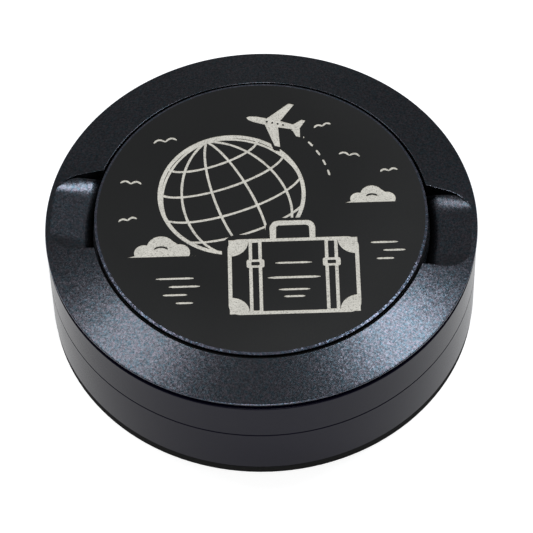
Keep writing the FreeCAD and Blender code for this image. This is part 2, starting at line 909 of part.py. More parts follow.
def make_face_plate():
    """Flat plate with a bevelled rim, glued on the cover."""
    body = ring("face_plate", 0, d.cover_radius, d.plate_low, d.plate_top)
    dress(body, "Chamfer", "plate_bevel", d.cover_radius, d.plate_top, d.plate_chamfer)
    return body


def make_cover_seal():
    """Round seal in the cover's gland."""
    seal = doc.addObject("Part::Torus", "cover_seal")
    seal.Label = "cover_seal"
    bind(seal, Radius1=d.seal_ring_radius, Radius2=d.seal_cord_radius)
    return move(seal, z=d.seal_height)


def make_cover():
    """All the pieces that turn and lift with the cover."""
    glue = ring("plate_adhesive", 0, d.glue_radius, d.cover_top, d.plate_low)
    pad = ring("cell_press_pad", 0, d.pad_radius, d.pad_low, d.cover_underside)
    return [make_cover_cap(), make_face_plate(), glue, make_cover_seal(), pad]


# ---------------------------------------------------------------- build, check and write


def check_document(nodes):
    """Stop if any object failed, or any node's shape is missing or broken."""
    for item in doc.Objects:
        if "Invalid" in item.State or "Error" in item.State:
            raise RuntimeError("{} failed: {}".format(item.Label, item.State))
    for node in nodes:
        if node.Shape.isNull() or not node.Shape.isValid():
            raise RuntimeError("{} is not a valid solid".format(node.Label))


def main():
    nodes = [
        make_foot_ring(),
        make_lower_shell(),
        make_shell_seal(),
        make_upper_shell(),
        make_bezel_ring(),
        make_case_screws(),
        make_thread_collar(),
        make_battery_tray(),
        make_circuit_board(),
        *make_chips(),
        make_chip_passives(),
        make_negative_contact(),
        make_positive_contacts(),
        *make_switch(),
        *make_buzzer(),
        *make_cell(),
        *make_cover(),
    ]
    doc.recompute()
    check_document(nodes)
    for node in nodes:
        node.Shape.exportStep("parts/{}.step".format(node.Label))
        solids = len(node.Shape.Solids)
        print("{:20s} {} solid(s) {:9.3f} mm3".format(node.Label, solids, node.Shape.Volume))


main()
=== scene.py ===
import math
import random

import bmesh
import bpy
from mathutils import Matrix, Vector
from mathutils.geometry import delaunay_2d_cdt


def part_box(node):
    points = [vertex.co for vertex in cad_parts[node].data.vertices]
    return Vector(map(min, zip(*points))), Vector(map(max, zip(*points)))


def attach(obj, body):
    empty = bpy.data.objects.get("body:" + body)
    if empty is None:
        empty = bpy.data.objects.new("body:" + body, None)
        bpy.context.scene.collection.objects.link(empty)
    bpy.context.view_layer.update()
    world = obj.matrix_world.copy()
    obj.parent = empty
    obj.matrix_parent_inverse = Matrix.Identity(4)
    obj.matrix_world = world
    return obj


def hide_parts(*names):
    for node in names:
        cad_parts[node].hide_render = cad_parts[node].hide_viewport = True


# The looks of a round tracker tag, in metres, in the frame of its CAD model:
# +Z up through the cover, +X through the finger scoops, the surface it stands on at z = 0.

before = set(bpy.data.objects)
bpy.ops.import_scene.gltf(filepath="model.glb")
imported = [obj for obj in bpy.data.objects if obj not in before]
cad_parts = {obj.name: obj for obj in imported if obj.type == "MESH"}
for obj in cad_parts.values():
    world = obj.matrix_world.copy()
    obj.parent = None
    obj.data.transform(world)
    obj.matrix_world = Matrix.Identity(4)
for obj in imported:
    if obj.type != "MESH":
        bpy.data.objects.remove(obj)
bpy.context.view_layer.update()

MM = 0.001
FULL = 2 * math.pi

# ---------------------------------------------------------------- places from the frame

PLATE_LOW, PLATE_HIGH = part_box("face_plate")
RING_LOW, RING_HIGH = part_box("bezel_ring")
UPPER_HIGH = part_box("upper_shell")[1]

PLATE_RADIUS = PLATE_HIGH.x
RING_RADIUS = RING_HIGH.x
RING_GAP = 0.25 * MM
RING_BORE = PLATE_RADIUS + RING_GAP
PLATE_STANDS_PROUD = 0.15 * MM
RING_CROWN = PLATE_HIGH.z - PLATE_STANDS_PROUD
RING_SLOPE = math.radians(13.6)
NECK_RADIUS = RING_RADIUS - 0.8 * MM
NECK_TOP = UPPER_HIGH.z
RING_UNDERSIDE = NECK_TOP + 0.23 * MM
RING_SHELF = RING_CROWN - 2.35 * MM
SPIGOT_RADIUS = RING_RADIUS - 2.2 * MM
THROAT_RADIUS = RING_BORE - 0.8 * MM

# The camera looks from the front, -Y, from a few degrees to the right and with a slight roll.
CAMERA_AZIMUTH = math.radians(5.3)
CAMERA_ELEVATION = math.radians(55.06)
CAMERA_ROLL = math.radians(-1.659)
CAMERA_DISTANCE = 0.315
CAMERA_TARGET = Vector((0.856, -5.012, 11.95)) * MM
CAMERA_LENS = 221.1

# ---------------------------------------------------------------- mesh helpers

# Points closer than SAME_POINT are one point; a boolean leaves crumbs up to CUT_CRUMB across.
SAME_POINT = 1e-8
CUT_CRUMB = 2e-6


def add_object(name, verts, faces, body, slot):
    """A mesh object in the part's frame, riding on a body; its slot argument is not used."""
    mesh = bpy.data.meshes.new(name)
    mesh.from_pydata([tuple(v) for v in verts], [], faces)
    mesh.validate()
    mesh.update()
    thing = bpy.data.objects.new(name, mesh)
    bpy.context.scene.collection.objects.link(thing)
    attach(thing, body)
    return thing


def arc(centre, radius, start, end, steps):
    """Points (r, z) on an arc, with the angles in degrees."""
    points = []
    for i in range(steps + 1):
        angle = math.radians(start + (end - start) * i / steps)
        points.append((centre[0] + radius * math.cos(angle), centre[1] + radius * math.sin(angle)))
    return points


def line(start, end, steps):
    """Points from start up to, but not including, end."""
    return [
        (start[0] + (end[0] - start[0]) * i / steps, start[1] + (end[1] - start[1]) * i / steps)
        for i in range(steps)
    ]


def lathe(profile, segments):
    """Vertices and faces of a closed (r, z) profile turned about +Z."""
    count = len(profile)
    verts = []
    for i in range(segments):
        angle = FULL * i / segments
        verts += [Vector((r * math.cos(angle), r * math.sin(angle), z)) for r, z in profile]
    faces = []
    for i in range(segments):
        here, there = i * count, (i + 1) % segments * count
        for j in range(count):
            k = (j + 1) % count
            faces.append((here + j, there + j, there + k, here + k))
    return verts, faces


def smooth_by_angle(thing, degrees=32):
    """Smooth shading that stays crisp at edges sharper than an angle."""
    for face in thing.data.polygons:
        face.use_smooth = True
    split = thing.modifiers.new("crisp_edges", "EDGE_SPLIT")
    split.split_angle = math.radians(degrees)
    split.use_edge_sharp = False


def apply_modifiers(thing):
    """Replace the mesh with its evaluated form, and drop the modifiers."""
    graph = bpy.context.evaluated_depsgraph_get()
    made = bpy.data.meshes.new_from_object(thing.evaluated_get(graph))
    thing.modifiers.clear()
    thing.data = made


def weld(thing, distance):
    """Merge doubled points and make the faces point outwards."""
    bm = bmesh.new()
    bm.from_mesh(thing.data)
    bmesh.ops.remove_doubles(bm, verts=bm.verts, dist=distance)
    bmesh.ops.recalc_face_normals(bm, faces=bm.faces)
    bm.to_mesh(thing.data)
    bm.free()


# ---------------------------------------------------------------- materials


class Paint:
    """A Principled material whose nodes are added with short calls."""

    def __init__(self, name, **constants):
        self.material = bpy.data.materials.new(name)
        self.material.use_nodes = True
        self.nodes = self.material.node_tree.nodes
        self.links = self.material.node_tree.links
        self.shader = next(n for n in self.nodes if n.type == "BSDF_PRINCIPLED")
        self.place = self.nodes.new("ShaderNodeTexCoord").outputs["Object"]
        for key, value in constants.items():
            self.shader.inputs[key.replace("_", " ")].default_value = value

    def stretch(self, x, y, z):
        """Object coordinates scaled along each axis, for brushed or layered grain."""
        node = self.nodes.new("ShaderNodeMapping")
        node.inputs["Scale"].default_value = (x, y, z)
        self.links.new(self.place, node.inputs["Vector"])
        return node.outputs["Vector"]

    def noise(self, size, detail=2.0, rough=0.5, place=None):
        """Noise with features about one size across, in metres."""
        node = self.nodes.new("ShaderNodeTexNoise")
        node.inputs["Scale"].default_value = 1 / size
        node.inputs["Detail"].default_value = detail
        node.inputs["Roughness"].default_value = rough
        self.links.new(place or self.place, node.inputs["Vector"])
        return node.outputs["Fac"]

    def cell_colours(self, size):
        """A random colour for each cell about one size across."""
        node = self.nodes.new("ShaderNodeTexVoronoi")
        node.inputs["Scale"].default_value = 1 / size
        self.links.new(self.place, node.inputs["Vector"])
        return node.outputs["Color"]

    def cells(self, size):
        """A random value for each cell about one size across."""
        split = self.nodes.new("ShaderNodeSeparateColor")
        self.links.new(self.cell_colours(size), split.inputs["Color"])
        return split.outputs["Red"]

    def vector(self, operation, first, second=None):
        """A vector operation, each side a source or three numbers."""
        node = self.nodes.new("ShaderNodeVectorMath")
        node.operation = operation
        for place, value in zip(node.inputs, (first, second)):
            if isinstance(value, tuple):
                place.default_value = value
            elif value:
                self.links.new(value, place)
        return node.outputs["Vector"]

    def away(self, x, y, near, far):
        """How far a place is from the upright line through (x, y): 0 within near, 1 from far on."""
        flat = self.vector("MULTIPLY", self.place, (1.0, 1.0, 0.0))
        gap = self.nodes.new("ShaderNodeVectorMath")
        gap.operation = "DISTANCE"
        gap.inputs[1].default_value = (x, y, 0.0)
        self.links.new(flat, gap.inputs[0])
        share = self.nodes.new("ShaderNodeMapRange")
        share.inputs["From Min"].default_value = near
        share.inputs["From Max"].default_value = far
        self.links.new(gap.outputs["Value"], share.inputs["Value"])
        return share.outputs["Result"]

    def flakes(self, size, tilt):
        """Tip each cell of the surface its own way, by up to half of tilt."""
        normal = self.nodes.new("ShaderNodeNewGeometry").outputs["Normal"]
        lean = self.vector("SUBTRACT", self.cell_colours(size), (0.5, 0.5, 0.5))
        tipped = self.vector("ADD", normal, self.vector("MULTIPLY", lean, (tilt, tilt, tilt)))
        self.links.new(self.vector("NORMALIZE", tipped), self.shader.inputs["Normal"])

    def ramp(self, source, *stops):
        """Colours or greys at places between 0 and 1."""
        node = self.nodes.new("ShaderNodeValToRGB")
        band = node.color_ramp
        while len(band.elements) < len(stops):
            band.elements.new(0.5)
        for element, (where, colour) in zip(band.elements, stops):
            element.position = where
            grey = isinstance(colour, (int, float))
            element.color = (colour, colour, colour, 1) if grey else (*colour, 1)
        self.links.new(source, node.inputs["Fac"])
        return node.outputs["Color"]

    def span(self, source, low, high):
        """A source from 0 to 1 mapped to run from low to high."""
        node = self.nodes.new("ShaderNodeMapRange")
        node.inputs["To Min"].default_value = low
        node.inputs["To Max"].default_value = high
        self.links.new(source, node.inputs["Value"])
        return node.outputs["Result"]

    def colour(self, tone, *others):
        """The base colour: a tone times each of the other sources."""
        product = tone
        for other in others:
            node = self.nodes.new("ShaderNodeMix")
            node.data_type = "RGBA"
            node.blend_type = "MULTIPLY"
            node.inputs["Factor"].default_value = 1.0
            self.links.new(product, node.inputs["A"])
            self.links.new(other, node.inputs["B"])
            product = node.outputs["Result"]
        self.links.new(product, self.shader.inputs["Base Color"])

    def roughness(self, source, low, high):
        """Roughness from low to high as a source runs from 0 to 1."""
        self.links.new(self.span(source, low, high), self.shader.inputs["Roughness"])

    def clear_from_behind(self):
        """Let the back of a sheet be seen through."""
        blend = self.nodes.new("ShaderNodeMixShader")
        clear = self.nodes.new("ShaderNodeBsdfTransparent")
        behind = self.nodes.new("ShaderNodeNewGeometry").outputs["Backfacing"]
        output = next(n for n in self.nodes if n.type == "OUTPUT_MATERIAL")
        self.links.new(behind, blend.inputs[0])
        self.links.new(self.shader.outputs["BSDF"], blend.inputs[1])
        self.links.new(clear.outputs["BSDF"], blend.inputs[2])
        self.links.new(blend.outputs["Shader"], output.inputs["Surface"])

    def bump(self, *layers):
        """Bumps stacked in order, each a source, a height in metres and a strength."""
        before = None
        for source, height, strength in layers:
            node = self.nodes.new("ShaderNodeBump")
            node.inputs["Distance"].default_value = height
            node.inputs["Strength"].default_value = strength
            self.links.new(source, node.inputs["Height"])
            if before:
                self.links.new(before, node.inputs["Normal"])
            before = node.outputs["Normal"]
        self.links.new(before, self.shader.inputs["Normal"])


def anodised(name, dark, light, rough, tilt):
    """Bead-blasted dark anodised aluminium: small pits that each catch the light their own way."""
    paint = Paint(name, Metallic=1.0)
    pits = paint.cells(0.17 * MM)
    grain = paint.noise(0.2 * MM, 2.0, 0.6)
    fine = paint.noise(0.08 * MM, 1.0)
    broad = paint.noise(9 * MM, 2.0)
    tone = paint.ramp(grain, (0.32, dark), (0.68, light))
    cold, plain, warm = (0.68, 0.93, 1.0), (0.97, 0.97, 0.97), (1.2, 1.04, 1.08)
    tint = paint.ramp(pits, (0.0, cold), (0.5, plain), (1.0, warm))
    drift = paint.ramp(broad, (0.3, 0.9), (0.7, 1.0))
    paint.colour(tone, tint, drift)
    paint.roughness(fine, rough - 0.05, rough + 0.06)
    paint.flakes(0.15 * MM, tilt)
    return paint.material


def matte_plate():
    """Flat black face of the cover, duller than the ring, with painted light that makes it paler
    towards the front right.
    """
    paint = Paint("plate_black", Metallic=0.0)
    paint.shader.inputs["Specular IOR Level"].default_value = 0.25
    grain = paint.noise(0.11 * MM, 2.0)
    broad = paint.noise(12 * MM, 2.0)
    tone = paint.ramp(grain, (0.3, (0.0066, 0.0066, 0.0065)), (0.7, (0.0092, 0.0092, 0.0091)))
    drift = paint.ramp(broad, (0.3, 0.7), (0.7, 1.0))
    # Painted light: the colour rises up to 2.2 times with distance from a point at the back left, so
    # the face reads paler towards the front right.
    rim = paint.ramp(paint.away(-5 * MM, 4 * MM, 12 * MM, 20 * MM), (0.0, 1.0), (1.0, 2.2))
    paint.colour(tone, drift, rim)
    paint.roughness(grain, 0.4, 0.48)
    paint.bump((grain, 0.004 * MM, 0.35))
    return paint.material


def etched_ink():
    """Pale sandy floor of the etched drawing."""
    paint = Paint("etched_pale", Metallic=0.0)
    paint.shader.inputs["Specular IOR Level"].default_value = 0.25
    grain = paint.noise(0.13 * MM, 3.0, 0.7)
    cloud = paint.noise(1.4 * MM, 3.0, 0.6)
    pits = paint.cells(0.11 * MM)
    brown, sand, cream = (0.45, 0.43, 0.38), (0.82, 0.79, 0.71), (0.94, 0.9, 0.82)
    tone = paint.ramp(grain, (0.32, brown), (0.5, sand), (0.75, cream))
    wear = paint.ramp(cloud, (0.3, 0.88), (0.6, 1.0))
    specks = paint.ramp(pits, (0.02, 0.66), (0.12, 1.0))
    paint.colour(tone, wear, specks)
    paint.roughness(grain, 0.75, 0.95)
    paint.bump((grain, 0.02 * MM, 0.6))
    return paint.material


def satin_shell():
    """Moulded shell with a fine spark-eroded texture and a satin sheen."""
    paint = Paint("shell_satin", Metallic=0.0)
    paint.shader.inputs["Specular IOR Level"].default_value = 0.085
    paint.shader.inputs["Specular Tint"].default_value = (0.93, 0.92, 1.0, 1)
    grain = paint.noise(0.14 * MM, 2.0, 0.55)
    fine = paint.noise(0.05 * MM, 1.0)
    broad = paint.noise(7 * MM, 3.0)
    tone = paint.ramp(grain, (0.3, (0.0014, 0.0012, 0.0062)), (0.7, (0.0026, 0.0022, 0.0096)))
    drift = paint.ramp(broad, (0.3, 0.9), (0.7, 1.0))
    paint.colour(tone, drift)
    paint.roughness(broad, 0.22, 0.28)
    paint.bump((grain, 0.006 * MM, 0.5), (fine, 0.003 * MM, 0.4))
    return paint.material


def moulded(name, dark, light, rough=0.5):
    """Plain moulded plastic with faint texture and tone."""
    paint = Paint(name, Metallic=0.0)
    grain = paint.noise(0.2 * MM, 2.0)
    broad = paint.noise(3 * MM, 2.0)
    tone = paint.ramp(grain, (0.3, dark), (0.7, light))
    drift = paint.ramp(broad, (0.3, 0.88), (0.7, 1.0))
    paint.colour(tone, drift)
    paint.roughness(broad, rough - 0.06, rough + 0.06)
    paint.bump((grain, 0.008 * MM, 0.4))
    return paint.material


def rubber(name, dark, light, gloss=0.3):
    """Matt rubber with a dusty bloom and small pores."""
    paint = Paint(name, Metallic=0.0)
    paint.shader.inputs["Specular IOR Level"].default_value = gloss
    grain = paint.noise(0.18 * MM, 4.0, 0.7)
    pores = paint.cells(0.35 * MM)
    tone = paint.ramp(grain, (0.3, dark), (0.75, light))
    paint.colour(tone, paint.ramp(pores, (0.02, 0.7), (0.1, 1.0)))
    paint.roughness(grain, 0.72, 0.92)
    paint.bump((grain, 0.015 * MM, 0.7))
    return paint.material


def metal(name, dark, light, rough, stretch=(1, 1, 1)):
    """Bare or plated metal, brushed where its grain is stretched."""
    paint = Paint(name, Metallic=1.0)
    grain = paint.noise(0.25 * MM, 3.0, 0.6, paint.stretch(*stretch))
    stain = paint.noise(2.5 * MM, 3.0, 0.6)
    tone = paint.ramp(grain, (0.3, dark), (0.7, light))
    paint.colour(tone, paint.ramp(stain, (0.3, 0.84), (0.65, 1.0)))
    paint.roughness(grain, rough - 0.07, rough + 0.09)
    paint.bump((grain, 0.004 * MM, 0.5))
    return paint.material


def solder_mask():
    """Board laminate: green mask over faint copper tracks."""
    paint = Paint("board_green", Metallic=0.0, Roughness=0.34)
    tracks = paint.nodes.new("ShaderNodeTexBrick")
    tracks.inputs["Scale"].default_value = 1 / (1.6 * MM)
    tracks.inputs["Mortar Size"].default_value = 0.07
    tracks.inputs["Color1"].default_value = (0.006, 0.045, 0.026, 1)
    tracks.inputs["Color2"].default_value = (0.008, 0.056, 0.032, 1)
    tracks.inputs["Mortar"].default_value = (0.02, 0.115, 0.06, 1)
    paint.links.new(paint.place, tracks.inputs["Vector"])
    weave = paint.noise(0.3 * MM, 2.0)
    paint.colour(tracks.outputs["Color"], paint.ramp(weave, (0.3, 0.85), (0.7, 1.0)))
    paint.bump((tracks.outputs["Fac"], 0.02 * MM, 0.6), (weave, 0.004 * MM, 0.3))
    return paint.material


# ---------------------------------------------------------------- bezel ring

RING_SEGMENTS = 480
BORE_ROUND = 0.1 * MM
BRIM_ROUND = 0.11 * MM
# The brim's round starts this far below the level, in degrees.
BRIM_ROUND_START = -15
BRIM_UNDERCUT = 0.2 * MM
EASED_EDGE = 0.05 * MM
# The brim's rounded edge takes a paler cut-edge finish, which also paints in its highlight, where it is
# this far out and faces this much upwards.
PAINTED_HIGHLIGHT_RADIUS = RING_RADIUS - 0.76 * BRIM_ROUND
PAINTED_HIGHLIGHT_UPWARDS = 0.45

# Each scoop is widest at the bore, and ends in rounded corners at its reach.
SCOOP_HALF = 4.7 * MM
SCOOP_END_HALF = 4.1 * MM
SCOOP_REACH = 20.65 * MM
SCOOP_CORNER = 2.6 * MM
# Its floor rises outwards from the bore and is flat across its middle.
SCOOP_FLOOR = RING_CROWN - 1.8 * MM
SCOOP_SLOPE = math.radians(11.6)
SCOOP_FLAT = 2.3 * MM
# Its sides curl up, more so further out, and its inner edge rolls over into the bore.
SCOOP_CURL = 0.24 * MM
SCOOP_CURL_RISE = 0.125
SCOOP_CURL_POWER = 2.4
SCOOP_LIP = 1.05 * MM
SCOOP_LIP_DROP = 0.36 * MM


def cone_height(radius):
    """Height of the ring's conical top at a distance from the axis."""
    return RING_CROWN - (radius - RING_BORE) * math.tan(RING_SLOPE)


def ring_profile():
    """The closed half section of the bezel ring, anticlockwise."""
    cone_normal = 90 - math.degrees(RING_SLOPE)
    brim_drop = BRIM_ROUND * math.tan(math.radians(cone_normal) / 2)
    brim_centre = (RING_RADIUS - BRIM_ROUND, cone_height(RING_RADIUS) - brim_drop)
    bore_edge = RING_BORE + BORE_ROUND
    points = []
    points += line((THROAT_RADIUS, RING_LOW.z), (SPIGOT_RADIUS, RING_LOW.z), 6)
    points += line((SPIGOT_RADIUS, RING_LOW.z), (SPIGOT_RADIUS, NECK_TOP), 4)
    points += line((SPIGOT_RADIUS, NECK_TOP), (NECK_RADIUS, NECK_TOP), 6)
    points += [(NECK_RADIUS, NECK_TOP), (NECK_RADIUS, RING_UNDERSIDE)]
    points += [(RING_RADIUS - BRIM_UNDERCUT, RING_UNDERSIDE)]
    points += arc(brim_centre, BRIM_ROUND, BRIM_ROUND_START, cone_normal, 14)
    cone_foot = points.pop()
    points += line(cone_foot, (bore_edge, cone_height(bore_edge)), 34)
    points += arc((bore_edge, cone_height(bore_edge) - BORE_ROUND), BORE_ROUND, cone_normal, 180, 5)
    wall_top = points.pop()
    points += line(wall_top, (RING_BORE, RING_SHELF), 10)
    points += line((RING_BORE, RING_SHELF), (THROAT_RADIUS, RING_SHELF), 3)
    points += line((THROAT_RADIUS, RING_SHELF), (THROAT_RADIUS, RING_LOW.z), 3)
    return points


def scoop_half_width(x):
    """Half the scoop's width at a distance from the axis."""
    turn_x = SCOOP_REACH - SCOOP_CORNER
    start = RING_BORE - 1 * MM
    share = (x - start) / (SCOOP_REACH - start)
    straight = SCOOP_HALF + (SCOOP_END_HALF - SCOOP_HALF) * share
    if x <= turn_x:
        return straight
    across = min(x - turn_x, SCOOP_CORNER)
    return straight - SCOOP_CORNER + math.sqrt(max(SCOOP_CORNER ** 2 - across ** 2, 0))


def scoop_floor(x, y):
    """Height of the scoop's floor: it rises outwards and to its sides, and rolls over a lip."""
    rise = (x - RING_BORE) * math.tan(SCOOP_SLOPE)
    side = max(abs(y) - SCOOP_FLAT, 0) / (SCOOP_HALF - SCOOP_FLAT)
    curl = (SCOOP_CURL + SCOOP_CURL_RISE * max(x - RING_BORE, 0)) * side ** SCOOP_CURL_POWER
    lip_x = RING_BORE + SCOOP_LIP - (math.hypot(x, y) - x)
    over = min(max(lip_x - x, 0), SCOOP_LIP) / SCOOP_LIP
    drop = SCOOP_LIP_DROP * (1 - math.sqrt(1 - over ** 2))
    return SCOOP_FLOOR + rise + curl - drop


def scoop_cutter(name, turn):
    """A closed solid of what one fingertip takes out of the ring."""
    along, across = 64, 56
    inner = RING_BORE - 0.6 * MM
    top = RING_CROWN + 1 * MM
    verts = []
    for level in range(2):
        for i in range(along + 1):
            share = i / along
            x = inner + (SCOOP_REACH - inner) * math.sin(share * math.pi / 2)
            half = scoop_half_width(x)
            for j in range(across + 1):
                y = half * (2 * j / across - 1)
                verts.append(Vector((x, y, top if level else scoop_floor(x, y))))
    row = across + 1
    layer = row * (along + 1)
    faces = []
    for i in range(along):
        for j in range(across):
            a = i * row + j
            faces.append((a, a + 1, a + row + 1, a + row))
            faces.append((layer + a, layer + a + row, layer + a + row + 1, layer + a + 1))
    for i in range(along):
        for j, flip in ((0, False), (across, True)):
            a = i * row + j
            side = (a, a + row, layer + a + row, layer + a)
            faces.append(side[::-1] if flip else side)
    for j in range(across):
        for i, flip in ((0, True), (along, False)):
            a = i * row + j
            side = (a, a + 1, layer + a + 1, layer + a)
            faces.append(side[::-1] if flip else side)
    spin = Matrix.Rotation(turn, 4, "Z")
    mesh = bpy.data.meshes.new(name)
    mesh.from_pydata([tuple(spin @ v) for v in verts], [], faces)
    thing = bpy.data.objects.new(name, mesh)
    bpy.context.scene.collection.objects.link(thing)
    weld(thing, SAME_POINT)
    return thing


def make_bezel(material, edge_finish_and_painted_highlight):
    """The conical ring with both scoops cut into it and its sharp edges eased."""
    ring = add_object("bezel", *lathe(ring_profile(), RING_SEGMENTS), "case", "bezel_metal")
    weld(ring, SAME_POINT)
    cutters = [scoop_cutter("scoop_a", 0), scoop_cutter("scoop_b", math.pi)]
    for cutter in cutters:
        tool = ring.modifiers.new("scoop", "BOOLEAN")
        tool.operation = "DIFFERENCE"
        tool.solver = "MANIFOLD"
        tool.object = cutter
    apply_modifiers(ring)
    for cutter in cutters:
        bpy.data.objects.remove(cutter)
    weld(ring, CUT_CRUMB)
    ease = ring.modifiers.new("eased_edges", "BEVEL")
    ease.width = EASED_EDGE
    ease.segments = 2
    ease.limit_method = "ANGLE"
    ease.angle_limit = math.radians(55)
    apply_modifiers(ring)
    smooth_by_angle(ring, 34)
    ring.data.materials.clear()
    ring.data.materials.append(material)
    ring.data.materials.append(edge_finish_and_painted_highlight)
    # Upward-facing faces on the brim take the paler finish: a cut edge with a painted highlight.
    for face in ring.data.polygons:
        on_brim = math.hypot(face.center.x, face.center.y) > PAINTED_HIGHLIGHT_RADIUS
        face.material_index = 1 if on_brim and face.normal.z > PAINTED_HIGHLIGHT_UPWARDS else 0
    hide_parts("bezel_ring")


# ---------------------------------------------------------------- etched drawing, in millimetres

STROKE = 0.34
rng = random.Random(7)


class Drawing:
    """Flat shapes in millimetres, each laid over the last, that leave ink or bare plate."""

    def __init__(self):
        self.shapes = []

    def fill(self, points, ink=True):
        """Add a shape, with its points put in anticlockwise order."""
        points = [Vector(p) for p in points]
        area = sum(a.x * b.y - b.x * a.y for a, b in zip(points, points[1:] + points[:1]))
        self.shapes.append((points if area > 0 else points[::-1], ink))

    def stroke(self, points, width=STROKE, taper=0.25, ink=True):
        """A hand-cut line: a varying width, narrowed at both ends."""
        points = [Vector(p) for p in points]
        left, right = [], []
        last = len(points) - 1
        for i, point in enumerate(points):
            ahead = points[min(i + 1, last)] - points[max(i - 1, 0)]
            side = Vector((-ahead.y, ahead.x)).normalized()
            share = i / last
            ends = min(1, (taper + min(share, 1 - share) * 9))
            half = width / 2 * ends * rng.uniform(0.9, 1.1)
            left.append(point + side * half)
            right.append(point - side * half)
        self.fill(left + right[::-1], ink)

    def loop(self, points, width=STROKE):
        """A closed line: an inked shape with a bare one inset in it."""
        centre = sum((Vector(p) for p in points), Vector((0, 0))) / len(points)
        self.fill(points)
        inner = []
        for p in points:
            away = Vector(p) - centre
            inner.append(centre + away * (1 - width / away.length))
        self.fill(inner, False)


def oval(x, y, half_x, half_y, steps=72, start=0.0, end=360.0):
    """Points round an oval, or along part of one."""
    whole = abs(end - start) >= 360
    count = steps if whole else steps + 1
    points = []
    for i in range(count):
        angle = math.radians(start + (end - start) * i / steps)
        points.append((x + half_x * math.cos(angle), y + half_y * math.sin(angle)))
    return points


def moved(points, x, y, degrees, scale):
    """Points scaled and turned about the origin, then shifted by (x, y)."""
    spin = Matrix.Rotation(math.radians(degrees), 2)
    return [spin @ (Vector(p) * scale) + Vector((x, y)) for p in points]


def straight(x0, y0, x1, y1, steps=8):
    """Points along a straight line, both ends included."""
    return [(x0 + (x1 - x0) * i / steps, y0 + (y1 - y0) * i / steps) for i in range(steps + 1)]


def rounded_box(x, y, width, height, radius, steps=6):
    """A rectangle with round corners, centred on (x, y)."""
    points = []
    for sx, sy, start in ((1, -1, -90), (1, 1, 0), (-1, 1, 90), (-1, -1, 180)):
        cx = x + sx * (width / 2 - radius)
        cy = y + sy * (height / 2 - radius)
        points += oval(cx, cy, radius, radius, steps, start, start + 90)
    return points


def turned(first, second, angle):
    """Two coordinates after a turn in their own plane."""
    return (
        first * math.cos(angle) - second * math.sin(angle),
        first * math.sin(angle) + second * math.cos(angle),
    )


def draw_globe(art, x, y, radius):
    """A tilted globe with its net of meridians and parallels."""
    lean = math.radians(20)
    nod = math.radians(18)

    def seen(latitude, longitude):
        """Place on the page of a point of the globe, and how far it faces the reader."""
        lat, lon = math.radians(latitude), math.radians(longitude)
        east = math.cos(lat) * math.sin(lon)
        north = math.sin(lat)
        out = math.cos(lat) * math.cos(lon)
        north, out = turned(north, out, nod)
        east, north = turned(east, north, lean)
        return Vector((x + east * radius, y + north * radius)), out

    art.loop(oval(x, y, radius, radius, 128), STROKE * 1.15)
    nets = [[(lat, lon) for lon in range(-100, 101, 4)] for lat in (-50, -25, 0, 25, 50)]
    nets += [[(lat, lon) for lat in range(-90, 91, 4)] for lon in (-75, -45, -15, 15, 45, 75)]
    for net in nets:
        run = []
        for lat, lon in net:
            place, out = seen(lat, lon)
            inside = (place - Vector((x, y))).length < radius - STROKE * 0.6
            if out > 0.03 and inside:
                run.append(place)
        if len(run) > 4:
            art.stroke(run, STROKE * 0.72, 0.6)


def draw_case(art, x, y, width, height):
    """A plain travel case seen square on: handle, straps, buckles, corner caps and lines."""
    gap = 0.55
    art.fill(rounded_box(x, y, width + gap * 2, height + gap * 2, 1.5), False)
    top = y + height / 2
    handle = [(x - 1.9, top), (x - 1.9, top + 1.2)]
    handle += oval(x - 1.3, top + 1.2, 0.6, 0.6, 5, 180, 90)
    handle += oval(x + 1.3, top + 1.2, 0.6, 0.6, 5, 90, 0)
    handle += [(x + 1.9, top)]
    art.fill(rounded_box(x, top + 1.0, 5.2, 2.8, 1.2), False)
    art.stroke(handle, 0.6, 1.0)
    art.fill(rounded_box(x, y, width, height, 1.1))
    art.fill(rounded_box(x, y, width - STROKE * 2.2, height - STROKE * 2.2, 0.8), False)
    for side in (-1, 1):
        strap = x + side * width * 0.29
        art.fill(rounded_box(strap, y, 1.25, height, 0.1))
        art.fill(rounded_box(strap, y, 0.6, height - 0.9, 0.1), False)
        art.fill(rounded_box(strap, y + height * 0.17, 1.7, 0.95, 0.2))
        art.fill(rounded_box(strap, y + height * 0.17, 0.8, 0.4, 0.1), False)
        for end in (-1, 1):
            cx = x + side * (width / 2 - 0.1)
            cy = y + end * (height / 2 - 0.1)
            cap = [(cx, cy), (cx - side * 2.0, cy)]
            cap += oval(cx - side * 0.15, cy - end * 0.15, 1.75, 1.75, 8, *corner_sweep(side, end))
            cap += [(cx, cy - end * 2.0)]
            art.fill(cap)
    art.stroke(straight(x - width * 0.2, y - 0.2, x + width * 0.2, y - 0.2), STROKE * 0.8)
    for row, share in ((1.5, 0.14), (-1.6, 0.12), (-2.4, 0.08)):
        art.stroke(straight(x - width * share, y + row, x + width * share, y + row), STROKE * 0.6)


def corner_sweep(side, end):
    """Start and end angles of a corner cap's inner arc, from the long side to the short one."""
    start = 180 if side > 0 else 0
    turn = 90 * side * end
    return start, start + turn


def draw_plane(art, x, y, heading, size):
    """A plain aeroplane seen from above."""
    half = [
        (3.0, 0.0), (2.75, 0.22), (2.1, 0.36), (1.0, 0.4), (-0.6, 2.7), (-1.15, 2.7),
        (-0.35, 0.4), (-1.7, 0.3), (-2.35, 1.05), (-2.75, 1.05), (-2.45, 0.0),
    ]
    outline = half + [(px, -py) for px, py in reversed(half[1:-1])]
    art.fill(moved([(px * 1.16 + 0.05, py * 1.2) for px, py in outline], x, y, heading, size), False)
    art.fill(moved(outline, x, y, heading, size))
    for i in range(4):
        art.fill(moved(oval(0.9 - i * 0.55, 0, 0.11, 0.11, 10), x, y, heading, size), False)


